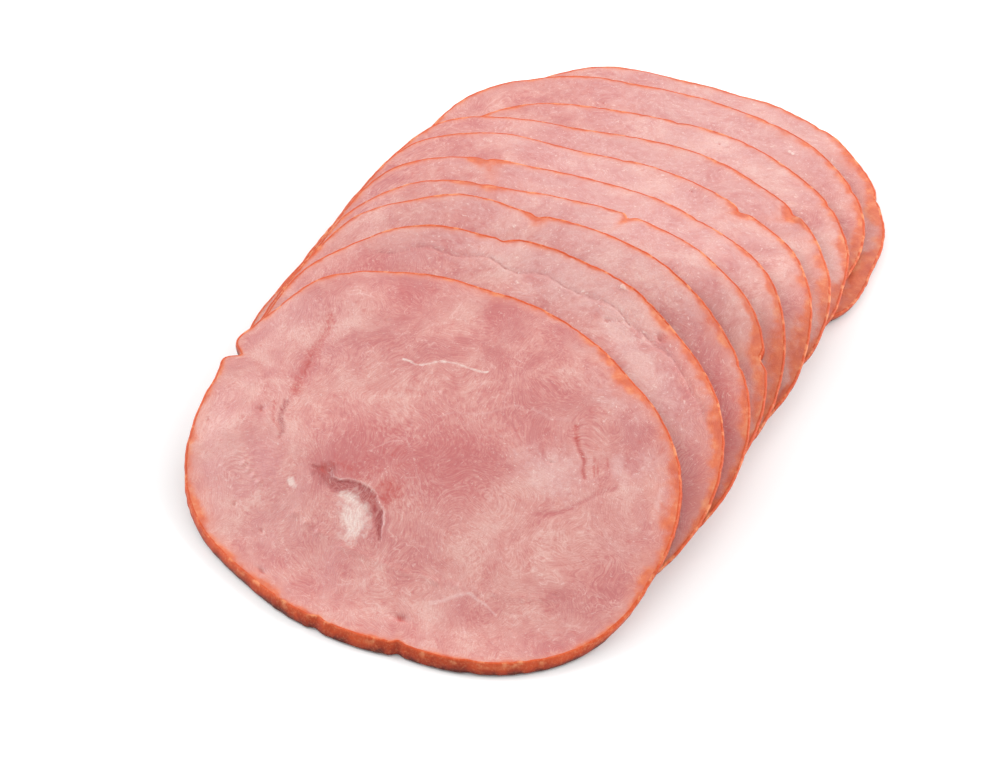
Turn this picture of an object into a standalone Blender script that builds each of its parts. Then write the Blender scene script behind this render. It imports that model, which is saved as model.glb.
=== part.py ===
"""Ten slices of smoked ham laid overlapping in a row.

Every slice is a thin oval disc of meat with a narrow band of smoked rind round its edge, as two bodies.
The row runs along +Y. slice_01 is at the front and lies on top; slice_10 is at the rear, flat on the table.
A slice lies over all those behind it, so the row is built from the rear: each slice's underside is the
shape that a soft sheet takes when it sinks on to the table and on to the slices already there.
Lengths are in metres, +Z is up, and the table is z = 0.
"""

import math

import bmesh
import bpy
import numpy as np
from mathutils import Vector
from mathutils.bvhtree import BVHTree

COLLECTION = "ham_slices"
MM = 0.001

# The slice.
THICKNESS = 3.0 * MM
RIND_WIDTH = 1.3 * MM
RIND_GAP = 0.3 * MM
LAYER_GAP = 0.25 * MM

# The oval that all slices share: cosine ripples round the rim as (order, amplitude over radius, degrees).
RIPPLES = (
    (3, 0.009, 0.0),
    (4, 0.010, -34.0),
    (5, 0.007, -3.0),
    (6, 0.011, 26.0),
)

# Each slice from the front: centre x and y and mean radius in mm, then stretch over radius and its
# direction in degrees, then local bumps of the rim as (degrees, height in mm with dents negative,
# half width in degrees).
SLICES = (
    (0.6, -35.4, 55.3, 0.133, -7.3, (
        (24, 0.6, 8), (50, -0.8, 5), (116, 0.9, 9), (155, -1.4, 4),
        (165, 0.8, 4), (292, -1.0, 4), (356, -0.7, 5),
    )),
    (1.4, -16.1, 55.7, 0.138, -5.0, (
        (63, 0.6, 6), (84, -0.6, 5), (100, 0.7, 4), (115, -0.9, 5), (140, 0.7, 4), (172, -0.6, 5),
    )),
    (0.1, -3.0, 56.2, 0.160, -3.6, (
        (66, 0.5, 5), (108, -0.7, 4), (124, 1.1, 5), (140, -1.8, 5), (152, 1.9, 6), (172, -1.4, 6),
        (180, -0.8, 6),
    )),
    (-3.2, 6.6, 57.8, 0.148, 5.9, (
        (34, 0.8, 5), (48, -0.9, 5), (108, 0.6, 4), (116, -0.8, 4), (156, 1.2, 5), (166, -0.8, 4),
        (178, -3.3, 11),
    )),
    (-5.0, 19.0, 59.4, 0.127, 6.4, (
        (76, 0.5, 6), (116, -0.6, 5), (132, -0.8, 5), (148, 0.9, 6), (166, -1.3, 5),
        (1, 0.4, 6), (181, -3.4, 12),
    )),
    (-5.2, 35.0, 59.7, 0.124, 4.4, (
        (28, -0.6, 4), (40, 0.4, 5), (92, 0.5, 6), (116, -0.4, 5),
        (140, -1.1, 5), (152, 1.3, 5), (167, -1.5, 5),
        (2, 0.7, 7), (178, -1.7, 10),
    )),
    (-6.9, 48.8, 59.9, 0.117, 8.3, (
        (12, 0.8, 6), (28, -1.1, 4), (60, -0.6, 4), (116, -0.6, 6), (148, 0.7, 5), (165, -0.9, 5),
        (1, 1.9, 7), (176, -0.8, 6),
    )),
    (-2.5, 67.6, 54.9, 0.105, 1.7, (
        (28, -0.5, 4), (44, 0.3, 5), (124, -0.4, 5),
        (-4, 2.0, 8),
    )),
    (-8.0, 82.1, 57.1, 0.117, 4.4, (
        (54, 0.7, 7), (80, -0.9, 7), (108, 0.6, 6), (124, 0.8, 5), (144, -1.3, 6), (164, 1.1, 6),
    )),
    (-2.7, 93.2, 55.5, 0.105, -6.4, (
        (24, -1.3, 7), (56, 1.3, 8), (92, -1.3, 6), (108, -0.6, 5),
        (130, 1.1, 7), (148, -1.1, 5), (348, 0.9, 6),
        (62, 0.8, 24), (-19, 3.2, 11),
    )),
)

# The mesh of a slice.
RIM_POINTS = 60
MEAT_RINGS = (0.0, 0.32, 0.62, 0.84, 1.0)
RIND_RINGS = (0.0, 1.0)
WELD_DISTANCE = 1e-6

# The height map in which the slices settle.
CELL = 1.0 * MM
MAP_X = (-80.0 * MM, 80.0 * MM)
MAP_Y = (-110.0 * MM, 160.0 * MM)
SETTLE_STEPS = 120
SETTLE_BLUR = 3.0 * MM
SETTLE_SAG = 0.2 * MM
START_BLUR = 8.0 * MM
FINISH_BLUR = 1.2 * MM
EDGE_MARGIN = 1.0 * MM
SPREAD_BLURS = (1.5 * MM, 3.0 * MM, 6.0 * MM, 12.0 * MM, 24.0 * MM)
LEAST_WEIGHT = 0.001
PROBE_HEIGHT = 0.2

# Cut meat and smoked rind: base colour, roughness and how much light goes under the surface.
MEAT_COLOUR = (0.74, 0.37, 0.33, 1.0)
MEAT_ROUGHNESS = 0.38
RIND_COLOUR = (0.66, 0.22, 0.07, 1.0)
RIND_ROUGHNESS = 0.45
SUBSURFACE_WEIGHT = 0.3


def clear_scene():
    """Removes every object that the new scene starts with."""
    for item in list(bpy.data.objects):
        bpy.data.objects.remove(item, do_unlink=True)


def rim_radius(angle, design):
    """Distance from a slice's centre to its rim at an angle in radians; design is a row of SLICES."""
    mean, stretch, stretch_angle, bumps = design[2:]
    radius = 1.0 + stretch * np.cos(2.0 * (angle - math.radians(stretch_angle)))
    for order, amplitude, phase in RIPPLES:
        radius = radius + amplitude * np.cos(order * (angle - math.radians(phase)))
    radius = radius * mean * MM
    for bump_angle, height, half_width in bumps:
        turn = np.angle(np.exp(1j * (angle - math.radians(bump_angle))))
        radius = radius + height * MM * np.exp(-((turn / math.radians(half_width)) ** 2))
    return radius


def map_axes():
    """The x and y of the height map's cells."""
    along_x = np.arange(MAP_X[0], MAP_X[1], CELL)
    along_y = np.arange(MAP_Y[0], MAP_Y[1], CELL)
    return along_x, along_y


def inside_distance(design):
    """How far inside the slice's rim each cell of the map lies; negative outside it."""
    along_x, along_y = map_axes()
    from_x, from_y = np.meshgrid(along_x - design[0] * MM, along_y - design[1] * MM)
    return rim_radius(np.arctan2(from_y, from_x), design) - np.hypot(from_x, from_y)


def blur(field, width):
    """Gaussian blur of a map, with the width in metres."""
    reach = int(math.ceil(3.0 * width / CELL))
    offsets = np.arange(-reach, reach + 1)
    weights = np.exp(-0.5 * (offsets * CELL / width) ** 2)
    weights = weights / weights.sum()
    for axis in (0, 1):
        pad = [(0, 0), (0, 0)]
        pad[axis] = (reach, reach)
        padded = np.pad(field, pad, mode="edge")
        length = field.shape[axis]
        field = sum(w * padded.take(range(i, i + length), axis=axis) for i, w in enumerate(weights))
    return field


def widen(field):
    """The largest value among each cell and its neighbours."""
    for axis in (0, 1):
        pad = [(0, 0), (0, 0)]
        pad[axis] = (1, 1)
        padded = np.pad(field, pad, mode="edge")
        length = field.shape[axis]
        shifted = [padded.take(range(i, i + length), axis=axis) for i in range(3)]
        field = np.max(shifted, axis=0)
    return field


def settle(obstacle, mask):
    """The underside of a soft sheet over the mask, sunk on to the obstacle."""
    share = mask.astype(float)
    start_weight = np.maximum(blur(share, START_BLUR), LEAST_WEIGHT)
    settle_weight = np.maximum(blur(share, SETTLE_BLUR), LEAST_WEIGHT)
    finish_weight = np.maximum(blur(share, FINISH_BLUR), LEAST_WEIGHT)
    under = np.maximum(blur(obstacle * share, START_BLUR) / start_weight, obstacle) * share
    for _ in range(SETTLE_STEPS):
        eased = blur(under, SETTLE_BLUR) / settle_weight - SETTLE_SAG
        under = np.maximum(eased, obstacle) * share
    eased = blur(under, FINISH_BLUR) / finish_weight
    return np.maximum(eased, obstacle) * share


def spread(field, mask):
    """Continues a map smoothly outside its mask, so that the rim itself can be read from it."""
    result = np.where(mask, field, 0.0)
    known = mask.copy()
    for width in SPREAD_BLURS:
        weight = blur(mask.astype(float), width)
        guess = blur(np.where(mask, field, 0.0), width) / np.maximum(weight, LEAST_WEIGHT)
        new = ~known & (weight > LEAST_WEIGHT)
        result[new] = guess[new]
        known |= new
    return result


def read_map(field, x, y):
    """Bilinear value of a map at points."""
    column = np.clip((x - MAP_X[0]) / CELL, 0, field.shape[1] - 1.001)
    row = np.clip((y - MAP_Y[0]) / CELL, 0, field.shape[0] - 1.001)
    left = column.astype(int)
    low = row.astype(int)
    part_x = column - left
    part_y = row - low
    lower = field[low, left] * (1 - part_x) + field[low, left + 1] * part_x
    upper = field[low + 1, left] * (1 - part_x) + field[low + 1, left + 1] * part_x
    return lower * (1 - part_y) + upper * part_y


def round_sheet(rings, place):
    """A flat polar sheet spun from a spoke. place gives x and y for a ring share and an angle."""
    sheet = bmesh.new()
    start = 0.0 if place(0.0, 0.0) == place(0.0, 1.0) else 1.0
    spoke = [sheet.verts.new((start + share, 0.0, 0.0)) for share in rings]
    edges = [sheet.edges.new(pair) for pair in zip(spoke, spoke[1:])]
    bmesh.ops.spin(
        sheet,
        geom=spoke + edges,
        cent=(0, 0, 0),
        axis=(0, 0, 1),
        angle=2 * math.pi,
        steps=RIM_POINTS,
        use_merge=True,
    )
    bmesh.ops.remove_doubles(sheet, verts=sheet.verts, dist=WELD_DISTANCE)
    for vert in sheet.verts:
        share = math.hypot(vert.co.x, vert.co.y) - start
        x, y = place(share, math.atan2(vert.co.y, vert.co.x))
        vert.co = (x, y, 0.0)
    return sheet


def meat_sheet(design):
    """The flat sheet of the meat, from the centre to the rind."""

    def place(share, angle):
        edge = rim_radius(angle, design) - RIND_WIDTH - RIND_GAP
        return (
            design[0] * MM + share * edge * math.cos(angle),
            design[1] * MM + share * edge * math.sin(angle),
        )

    return round_sheet(MEAT_RINGS, place)


def rind_sheet(design):
    """The flat band of the rind, which ends at the rim."""

    def place(share, angle):
        edge = rim_radius(angle, design) - RIND_WIDTH * (1.0 - share)
        return (
            design[0] * MM + edge * math.cos(angle),
            design[1] * MM + edge * math.sin(angle),
        )

    return round_sheet(RIND_RINGS, place)


def drape(sheet, under):
    """Puts the sheet's vertices at the underside's height."""
    for vert in sheet.verts:
        vert.co.z = float(read_map(under, np.array(vert.co.x), np.array(vert.co.y)))


def probe(sheet, mask):
    """The height of a sheet at the map's cells, not a number where it has none, and the face there."""
    tree = BVHTree.FromBMesh(sheet)
    along_x, along_y = map_axes()
    heights = np.full(mask.shape, np.nan)
    faces = {}
    for row, column in zip(*np.nonzero(mask)):
        start = Vector((along_x[column], along_y[row], PROBE_HEIGHT))
        place, _, face, _ = tree.ray_cast(start, Vector((0.0, 0.0, -1.0)))
        if place is not None:
            heights[row, column] = place.z
            faces[row, column] = face
    return heights, faces


def clear_below(sheet, mask, floor):
    """Lifts the corners of each face that dips into what is below. Returns the sheet's heights."""
    heights, faces = probe(sheet, mask)
    sheet.faces.ensure_lookup_table()
    lifts = {}
    for cell, face in faces.items():
        short = floor[cell] - heights[cell]
        if short > 0.0:
            for vert in sheet.faces[face].verts:
                lifts[vert] = max(lifts.get(vert, 0.0), short)
    for vert, lift in lifts.items():
        vert.co.z += lift
    return probe(sheet, mask)[0]


def thicken(sheet):
    """Gives a sheet its thickness upwards and closes it all round."""
    lower = list(sheet.faces)
    made = bmesh.ops.extrude_face_region(sheet, geom=lower, use_keep_orig=True)
    raised = [item for item in made["geom"] if isinstance(item, bmesh.types.BMVert)]
    for vert in raised:
        vert.co.z += THICKNESS
    bmesh.ops.recalc_face_normals(sheet, faces=sheet.faces)


def make_material(name, colour, roughness):
    """A plain Principled material for cut meat or rind."""
    material = bpy.data.materials.new(name)
    material.use_nodes = True
    shader = material.node_tree.nodes["Principled BSDF"]
    shader.inputs["Base Color"].default_value = colour
    shader.inputs["Roughness"].default_value = roughness
    shader.inputs["Subsurface Weight"].default_value = SUBSURFACE_WEIGHT
    shader.inputs["Subsurface Scale"].default_value = THICKNESS
    material.diffuse_color = colour
    return material


def make_object(name, sheet, material, collection):
    """Turns a closed sheet into a named object."""
    mesh = bpy.data.meshes.new(name)
    sheet.to_mesh(mesh)
    sheet.free()
    mesh.materials.append(material)
    item = bpy.data.objects.new(name, mesh)
    collection.objects.link(item)
    return item


def make_slice(number, design, below, collection):
    """Lays one slice on the map of what is below it. Returns its two objects and the new map."""
    depth = inside_distance(design)
    mask = depth > -EDGE_MARGIN
    covered = below > 0.0
    floor = np.where(covered, widen(below) + LAYER_GAP, 0.0)
    under = spread(settle(floor, mask), mask)
    heights = np.full(mask.shape, np.nan)
    items = []
    parts = (
        ("meat", meat_sheet(design), MEAT_COLOUR, MEAT_ROUGHNESS),
        ("rind", rind_sheet(design), RIND_COLOUR, RIND_ROUGHNESS),
    )
    for part, sheet, colour, roughness in parts:
        name = f"slice_{number:02d}_{part}"
        drape(sheet, under)
        heights = np.fmax(heights, clear_below(sheet, mask, floor))
        thicken(sheet)
        items.append(make_object(name, sheet, make_material(name, colour, roughness), collection))
    above = np.where(np.isnan(heights), below, heights + THICKNESS)
    return items, np.where(depth > -CELL, np.fmax(above, below), below)


def centre_on_origin(items):
    """Moves the row so that its bounding box stands on z = 0 round the origin."""
    corners = np.array([vert.co for item in items for vert in item.data.vertices])
    low = corners.min(axis=0)
    high = corners.max(axis=0)
    shift = Vector((-(low[0] + high[0]) / 2, -(low[1] + high[1]) / 2, -low[2]))
    for item in items:
        for vert in item.data.vertices:
            vert.co += shift


def build():
    """Builds the row from the rear slice, which lies on the table, to the front one on top."""
    clear_scene()
    collection = bpy.data.collections.new(COLLECTION)
    bpy.context.scene.collection.children.link(collection)
    along_x, along_y = map_axes()
    top = np.zeros((len(along_y), len(along_x)))
    items = []
    for number in range(len(SLICES), 0, -1):
        made, top = make_slice(number, SLICES[number - 1], top, collection)
        items.extend(made)
    centre_on_origin(items)


build()
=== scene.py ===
"""The looks of a row of smoked ham slices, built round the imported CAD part.

Every CAD slice is replaced by a finer one: its outline follows the CAD rind's outer wall and its height
follows the CAD slice's top, smoothed as soft meat smooths it. The slices are cuts through one ham, so their
colours come from one solid pattern, read at each slice's own place in the ham. All lengths are in metres.
"""

import math

import bpy
import numpy as np
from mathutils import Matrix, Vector
from mathutils.bvhtree import BVHTree


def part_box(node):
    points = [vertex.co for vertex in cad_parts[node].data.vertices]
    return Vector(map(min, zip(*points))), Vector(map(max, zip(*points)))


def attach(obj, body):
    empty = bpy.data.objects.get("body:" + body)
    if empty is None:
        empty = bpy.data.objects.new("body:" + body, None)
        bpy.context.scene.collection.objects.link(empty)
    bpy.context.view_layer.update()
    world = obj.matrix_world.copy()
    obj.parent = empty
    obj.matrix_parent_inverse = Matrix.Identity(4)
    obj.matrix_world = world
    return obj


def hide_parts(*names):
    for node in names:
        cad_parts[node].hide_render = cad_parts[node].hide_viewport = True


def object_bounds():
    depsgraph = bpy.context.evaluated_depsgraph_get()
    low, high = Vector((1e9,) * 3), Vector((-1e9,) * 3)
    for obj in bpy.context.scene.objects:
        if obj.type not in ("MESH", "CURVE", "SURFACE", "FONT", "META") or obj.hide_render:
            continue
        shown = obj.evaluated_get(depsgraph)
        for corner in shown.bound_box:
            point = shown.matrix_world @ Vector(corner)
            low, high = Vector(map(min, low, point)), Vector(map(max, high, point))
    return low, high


MM = 0.001
CM = 10 * MM

# The camera: where it looks, from which side and how far off.
CAMERA_TARGET = (3.3 * MM, -29.4 * MM, 12.0 * MM)
CAMERA_AZIMUTH = 29.0
CAMERA_ELEVATION = 42.0
CAMERA_DISTANCE = 0.82
CAMERA_LENS = 121.0
SENSOR_WIDTH = 36.0

# The slices.
SLICE_COUNT = 10
THICKNESS = 3.0 * MM
RIND_WIDTH = 0.7 * MM
EDGE_ROUNDING = 0.45 * MM
CORNER_STEPS = 4
WALL_BULGE = 0.2 * MM
AIR_GAP = 0.22 * MM

# How far the wall slants in below the rim, as (degrees, mm at the foot with outward slants negative, half
# width in degrees), for the front slice and for the others.
SLANTS = {
    "front": ((-166.0, 0.7, 14.0), (-8.0, 1.2, 18.0), (-76.0, -1.5, 42.0)),
    "other": ((-14.0, 1.4, 30.0), (180.0, 0.7, 30.0)),
}

# The mesh of a slice: points round the rim and rings from the centre out.
RIM_POINTS = {"front": 620, "other": 480}
TOP_RINGS = {"front": 144, "other": 90}
BOTTOM_RINGS = 14

# The height maps that the slices are laid with.
CELL = 1.0 * MM
MAP_MARGIN = 6.0 * MM
SMOOTHING = 2.2 * MM
TOUCH_SMOOTHING = 1.0 * MM
SPREAD_BLURS = (1.5 * MM, 3.0 * MM, 6.0 * MM, 12.0 * MM)
LEAST_WEIGHT = 0.001
PROBE_HEIGHT = 0.2

# A CAD face is part of the rim's wall where its normal has less than this share straight up.
WALL_STEEPNESS = 0.5

# The rim's own roughness.
OUTLINE_POINTS = 720
RIM_HARMONICS = 26
RIM_WAVES = 150
RIM_WAVE_HEIGHT = 0.05 * MM
SEED = 7

# Small dents of the rim, as {slice: ((degrees, depth in mm, half width in degrees), ...)}. A depth below zero
# is a bulge.
NOTCHES = {
    1: (
        (171.5, 2.9, 1.2), (174.6, -1.0, 2.2), (167.8, -0.9, 2.4), (-106.0, -0.4, 12.0), (-48.0, -0.6, 14.0),
        (-93.5, 0.7, 1.6), (-69.3, 0.9, 1.4), (-52.0, 0.4, 1.2), (140.0, 0.3, 1.5),
    ),
    2: ((111.0, 0.7, 1.8), (62.0, 0.3, 1.2)),
    3: ((107.0, 0.9, 1.6), (30.0, 0.4, 1.0)),
    4: ((80.7, 1.5, 1.2), (25.3, 1.4, 1.6), (126.0, 0.7, 1.6)),
    5: ((129.6, 0.9, 1.2), (66.0, 0.4, 1.3)),
    6: ((58.8, 1.4, 1.8), (98.0, 0.4, 1.2)),
    7: ((46.0, 0.9, 2.2), (75.0, 0.3, 1.0)),
    8: ((100.0, 0.5, 1.5), (40.0, 0.4, 1.4)),
    9: ((70.0, 0.4, 2.0), (34.0, 0.4, 1.3)),
    10: ((28.0, 0.7, 1.4), (64.0, 0.4, 1.5)),
}

# The marks wander from their drawn places by a few waves, as (mm moved, waves per mm across, along, turn).
WANDER = ((0.8, 0.045, 0.030, 0.3), (0.3, -0.060, 0.090, 2.1), (0.1, 0.190, -0.150, 4.0))

# Patches of a tint, as (tint, x, y, half length, half width in mm from the slice's centre, turn in degrees,
# strength). The first lot runs through the whole ham.
COMMON_PATCHES = (
    ("rose", -14.0, -4.5, 14.0, 7.5, 35.0, 1.0),
    ("rose", 4.0, -1.0, 14.0, 11.0, 10.0, 1.0),
    ("fat", -8.6, -21.5, 4.2, 5.4, 25.0, 1.0),
    ("fat", -12.8, -18.6, 3.6, 2.2, -10.0, 0.8),
    ("rose", -28.0, 41.5, 7.0, 6.0, 20.0, 1.0),
    ("rose", -4.0, 43.5, 6.0, 5.0, 0.0, 1.0),
    ("rose", 16.0, 46.0, 6.5, 4.5, 0.0, 1.0),
    ("rose", 36.0, 36.0, 5.0, 5.0, 0.0, 0.8),
    ("pale", 22.0, -12.0, 14.0, 9.0, 30.0, 0.2),
    ("pale", 30.0, 34.0, 12.0, 6.0, -35.0, 0.45),
)
OWN_PATCHES = {
    1: (
        ("red", -42.4, 20.5, 1.8, 3.2, 10.0, 0.45),
        ("red", -16.0, -11.8, 7.0, 2.2, 0.0, 0.6),
        ("red", -4.4, -13.0, 4.2, 2.6, -40.0, 0.75),
        ("red", -8.0, -7.0, 9.0, 6.0, 10.0, 0.38),
        # Painted shade: the dark left end of the ledge's hollow.
        ("mauve", -21.0, -14.2, 2.6, 1.8, -30.0, 1.0),
        ("rose", -44.0, -18.0, 12.0, 12.0, 0.0, 0.42),
        ("rose", 50.0, -5.0, 10.0, 12.0, 20.0, 0.5),
        ("pale", 27.0, 8.0, 9.0, 6.0, 10.0, 0.8),
        ("red", -12.4, 1.4, 3.2, 1.5, 20.0, 0.4),
        ("red", 47.7, 25.9, 0.9, 2.2, -20.0, 0.8),
        ("fat", -26.2, -19.3, 1.5, 1.0, 0.0, 0.9),
        ("pale", 41.8, 16.8, 1.2, 3.4, 35.0, 0.9),
        ("pale", 52.8, 13.5, 0.9, 4.8, 14.0, 0.9),
        ("pale", 46.0, 20.0, 8.0, 4.0, 60.0, 0.5),
        ("rose", 24.0, 26.0, 12.0, 7.0, -20.0, 0.5),
        ("rose", -46.0, 27.0, 10.0, 7.0, 10.0, 0.45),
        ("rose", -11.4, 26.5, 8.0, 3.0, 25.0, 0.35),
        ("rose", 27.0, -33.0, 9.0, 4.0, 35.0, 0.4),
    ),
    2: (
        ("pale", 26.0, 30.0, 22.0, 4.0, -33.0, 1.0),
        ("rose", 19.0, 35.6, 5.0, 2.0, -20.0, 0.6),
        ("rose", -22.0, 44.0, 12.0, 3.0, 0.0, 0.5),
        ("rose", -42.0, 28.0, 14.0, 7.0, 40.0, 0.9),
        # Painted shade on the right side, which slopes away from the light.
        ("rose", 54.0, 6.0, 7.0, 18.0, 20.0, 0.9),
        ("red", 30.8, 36.4, 1.3, 0.9, -40.0, 1.0),
    ),
    # Painted shade on the right sides of slices 3 and 4, which slope away from the light.
    3: (("rose", 52.0, 8.0, 11.0, 26.0, 20.0, 1.0), ("red", 52.0, 6.0, 9.0, 20.0, 20.0, 0.8)),
    4: (("rose", 52.0, 6.0, 8.0, 18.0, 20.0, 0.7),),
    5: (("rose", 6.0, 43.0, 40.0, 5.0, -4.0, 0.8),),
    7: (("rose", 6.0, 43.0, 44.0, 7.0, -4.0, 1.0), ("pale", 46.0, 26.0, 5.0, 12.0, 30.0, 0.7)),
    8: (("pale", 50.0, 20.0, 7.0, 14.0, 20.0, 0.9),),
    9: (("rose", 4.0, 43.0, 44.0, 8.0, -4.0, 1.0),),
}

# The rear part of a slice, which shows behind the one that lies on it, is painted paler with the pale tint:
# painted sheen.
REAR_PAINTED_SHEEN = ("pale", 4.0, 43.0, 60.0, 12.0, -4.0, 0.7)

# Seams and streaks, as (tint, points in mm from the slice's centre, half width in mm, depth in mm, strength).
COMMON_SEAMS = (
    (
        "pale",
        ((-9.9, 3.0), (-7.7, 0.3), (-4.6, -1.9), (-2.2, -4.1), (-0.9, -6.3), (3.0, -9.3)),
        0.3, 0.0, 0.55,
    ),
    ("pale", ((-13.6, -4.8), (-11.2, -1.9), (-8.6, -0.1)), 0.28, 0.0, 0.5),
    ("pale", ((-7.2, -8.2), (-3.5, -8.9), (-0.8, -6.5)), 0.28, 0.0, 0.5),
    ("pale", ((-13.0, -4.2), (-9.4, -5.8), (-6.0, -8.3), (-3.3, -9.3)), 0.5, 0.0, 0.35),
)
OWN_SEAMS = {
    1: (
        ("red", ((-43.0, -2.0), (-39.6, -6.4), (-35.4, -10.5)), 0.7, 0.04, 0.6),
        ("mauve", ((-39.5, -0.8), (-38.3, -4.4), (-35.8, -9.8)), 1.3, 0.05, 0.6),
        ("red", ((-42.3, 24.0), (-41.8, 17.4), (-41.1, 12.9), (-40.1, 8.0), (-38.6, 3.7)), 1.7, 0.08, 0.75),
        ("mauve", ((-41.6, 14.4), (-40.8, 10.6), (-38.8, 4.2)), 0.45, 0.05, 0.65),
        ("fat", ((-20.3, 20.2), (-14.3, 21.8), (-8.3, 23.5), (0.5, 26.0)), 0.4, -0.05, 0.75),
        ("red", ((26.6, 20.5), (28.7, 17.9), (31.9, 14.4), (35.3, 10.0)), 1.1, 0.1, 0.72),
        ("mauve", ((28.7, 17.6), (31.9, 14.2), (35.3, 10.0)), 0.5, 0.06, 0.6),
        ("red", ((35.1, 15.9), (37.9, 12.0)), 0.6, 0.05, 0.62),
        ("red", ((37.0, 15.4), (38.7, 13.0)), 0.5, 0.04, 0.55),
        ("red", ((38.3, 18.0), (39.9, 15.9)), 0.5, 0.04, 0.5),
        ("rose", ((43.2, 12.0), (40.5, 8.4), (38.2, 5.2), (34.2, 0.5), (30.8, -3.0)), 1.2, 0.1, 0.75),
        (
            "pale",
            ((17.7, -32.0), (21.7, -29.6), (25.9, -27.7), (29.6, -27.2), (32.3, -28.4)),
            0.5, -0.05, 0.8,
        ),
        ("pale", ((-2.0, 10.0), (6.0, 16.0), (16.0, 21.0), (25.0, 22.0)), 0.6, 0.0, 0.4),
        # Painted shade: a broad rose band painted as the shadow of a soft crease from the left round to the
        # front; it also sinks the face a little.
        (
            "rose",
            ((-46.0, -8.0), (-38.0, -17.0), (-28.0, -25.5), (-17.0, -31.0), (-4.0, -35.0)),
            3.2, 0.1, 0.4,
        ),
    ),
    2: (
        (
            "mauve",
            (
                (-46.2, 31.1), (-37.8, 35.5), (-28.4, 38.1), (-15.3, 39.1), (1.0, 39.5), (10.0, 39.6),
                (19.3, 37.9), (26.0, 36.7), (31.8, 34.4), (38.8, 29.8), (45.9, 25.4), (51.5, 21.3),
            ),
            0.45, 0.3, 0.45,
        ),
    ),
}

# The torn ledge through the middle of the ham, as (x, y, reach of the hollow below it in mm). The painted
# shade in the hollow is given as (share of that reach, strength) and the hollow as (share of that reach,
# reach in mm where it is full).
LEDGE = (
    (-24.0, -13.3, 0.7), (-21.5, -12.8, 1.1), (-19.9, -13.2, 1.3), (-18.3, -14.6, 1.5), (-16.5, -14.6, 1.9),
    (-14.4, -13.7, 2.6), (-11.3, -13.4, 2.6), (-8.4, -13.7, 2.7), (-6.6, -14.5, 2.6), (-4.7, -16.3, 2.3),
    (-2.8, -17.6, 1.8), (-1.5, -20.0, 1.3), (-0.3, -23.0, 0.6),
)
LEDGE_DEPTH = 0.3
LEDGE_SHADE = (1.7, 0.95)
LEDGE_HOLLOW = (1.5, 1.5)
LIP_WIDTH = 0.22
LIP_HEIGHT = 0.1
LIP_PALENESS = 0.9
LIP_LEAST_REACH = 1.2

# Pits, as (x, y, half length, half width in mm from the slice's centre, turn in degrees, depth in mm,
# redness), and the small ones strewn over every slice.
PITS = {
    1: (
        (-44.6, -4.2, 0.9, 0.75, 0.0, 0.5, 0.8),
        (-56.1, -10.2, 0.5, 0.4, 0.0, 0.4, 0.6),
        (-37.9, -27.8, 0.6, 0.5, 0.0, 0.4, 0.6),
        (-28.2, -31.4, 0.5, 0.4, 0.0, 0.4, 0.5),
        (-22.2, -41.1, 1.8, 0.8, -15.0, 0.7, 1.0),
        (14.1, -38.7, 2.2, 1.1, 10.0, 0.7, 0.9),
        (-8.5, 5.0, 0.3, 0.3, 0.0, 0.3, 0.2),
        # Its red tint is painted shade in the dark left end of the ledge's hollow.
        (-21.2, -13.4, 2.4, 1.5, -20.0, 0.25, 1.0),
    ),
    2: (
        (17.2, 35.1, 1.2, 0.5, 20.0, 0.5, 0.8),
        (19.9, 36.2, 0.8, 0.4, 20.0, 0.4, 0.8),
        (30.8, 36.4, 1.4, 0.7, -40.0, 0.7, 1.0),
    ),
    6: ((13.8, 48.6, 1.0, 0.6, 10.0, 0.5, 0.9),),
    8: ((5.2, 45.0, 0.8, 0.5, 10.0, 0.4, 0.8),),
    9: ((-25.9, 35.4, 0.9, 0.6, 15.0, 0.5, 0.9),),
}
STRAY_PITS = 5
STRAY_PIT_SIZE = (0.25, 0.6)
STRAY_PIT_REACH = 50.0
STRAY_PIT_SHAPE = 0.7
STRAY_PIT_TURN = 30.0
STRAY_PIT_DEPTH = 0.4
STRAY_PIT_REDNESS = 0.4
SLICE_SQUASH = 0.8

# Crumbs of fat stuck to the cut face, as (x, y, half size, height in mm).
CRUMBS = {
    2: ((16.2, 44.9, 0.8, 0.7), (17.4, 44.6, 0.5, 0.5)),
    3: ((-17.5, 40.0, 0.5, 0.4),),
    7: ((43.6, 41.0, 1.0, 0.9), (42.4, 41.6, 0.7, 0.7), (44.9, 40.2, 0.5, 0.6)),
    9: ((27.9, 40.1, 0.6, 0.5), (28.9, 40.0, 0.4, 0.4)),
    10: ((-15.3, 46.4, 0.5, 0.4),),
}
CRUMB_WHITENESS = 2.0

# Where the smoke has coloured the cut face: reach from the rim in mm, and its wide spots as (degrees,
# extra mm, half width in degrees).
STAIN_REACH = 0.6
STAIN_WIDE = (20.0, 0.7, 24.0)
OWN_STAINS = {
    1: (
        (52.0, 1.0, 12.0), (14.0, 0.8, 8.0), (-4.0, 1.0, 5.0), (98.0, 0.3, 12.0), (-116.0, 0.5, 12.0),
        (-152.0, 0.9, 16.0),
    ),
    2: ((56.0, 0.5, 8.0), (36.0, 0.9, 6.0), (18.0, 0.8, 7.0), (4.0, 0.5, 6.0)),
    3: ((107.0, 1.2, 3.0), (40.0, 0.6, 7.0)),
    4: ((26.0, 1.0, 5.0), (80.7, 1.6, 2.0), (126.0, 0.8, 5.0)),
    5: ((129.6, 2.4, 3.2), (18.0, 0.8, 6.0)),
    6: ((58.8, 1.4, 4.0), (10.0, 1.2, 6.0)),
    7: ((46.0, 1.6, 3.0), (16.0, 1.6, 5.0)),
    8: ((22.0, 0.4, 5.0), (2.0, 1.2, 5.0)),
    9: ((6.0, 3.2, 7.0), (60.0, 0.5, 12.0)),
    10: ((-8.0, 4.5, 11.0), (26.0, 1.0, 8.0), (48.0, 0.8, 8.0)),
}

# How bright a white card would show if it lay on the meat, or stood in the rind's place. Colours below are
# as they should show, from 0 to 255, and are divided by this.
MEAT_LIGHT = 1.28
RIND_LIGHT = 1.2

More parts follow.
